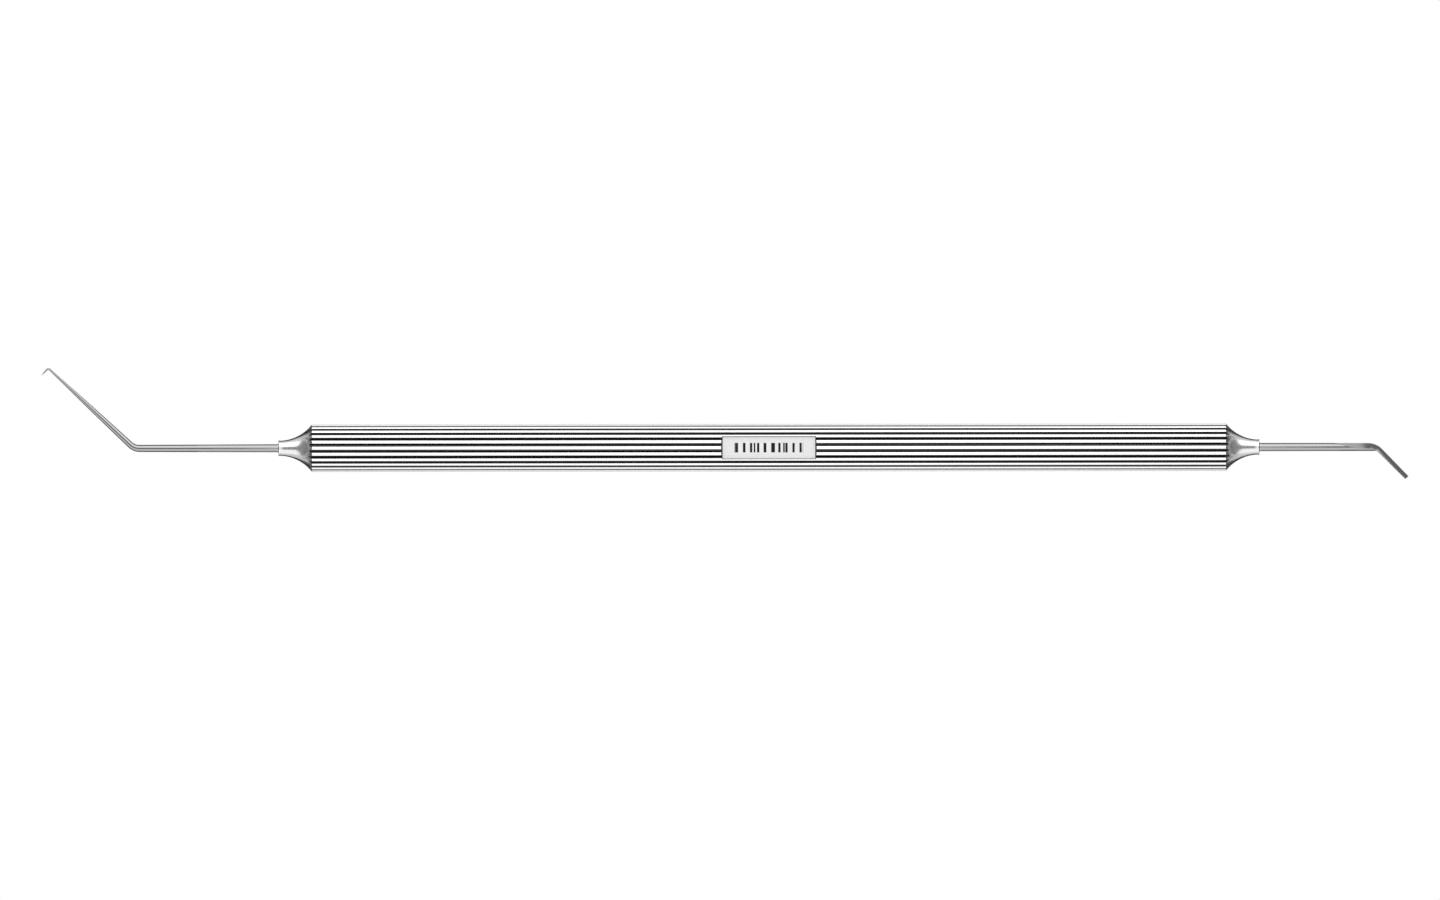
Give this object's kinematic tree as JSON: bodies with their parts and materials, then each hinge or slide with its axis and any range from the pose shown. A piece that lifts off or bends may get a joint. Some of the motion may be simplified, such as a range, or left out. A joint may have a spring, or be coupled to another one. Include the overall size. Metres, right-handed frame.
{
  "type": "double-ended micro hook and spatula",
  "caption": "Slim double-ended hand instrument: fluted tubular steel handle, coved noses, an angled shank with a fine right-angled hook, and an angled shank flattened to a narrow spatula.",
  "frame": {"origin": "on the handle's axis at mid-length, which is also where the instrument balances", "axes": "+X along the handle towards the spatula, +Y the side that the hook arm bends to, +Z out of the marking window"},
  "size_m": [0.1197, 0.0099, 0.0042],
  "materials": {
    "handle_steel": "drawn and polished",
    "nose_steel": "fine turned, satin",
    "shank_steel": "polished, with matte ground blade edges",
    "braze_alloy": "silver braze, as flowed"
  },
  "bodies": {
    "root": {"handle_tube": "handle_steel", "hook_nose": "nose_steel", "spatula_nose": "nose_steel", "hook_shank": "shank_steel", "spatula_shank": "shank_steel", "hook_braze": "braze_alloy", "spatula_braze": "braze_alloy"}
  },
  "joints": []
}
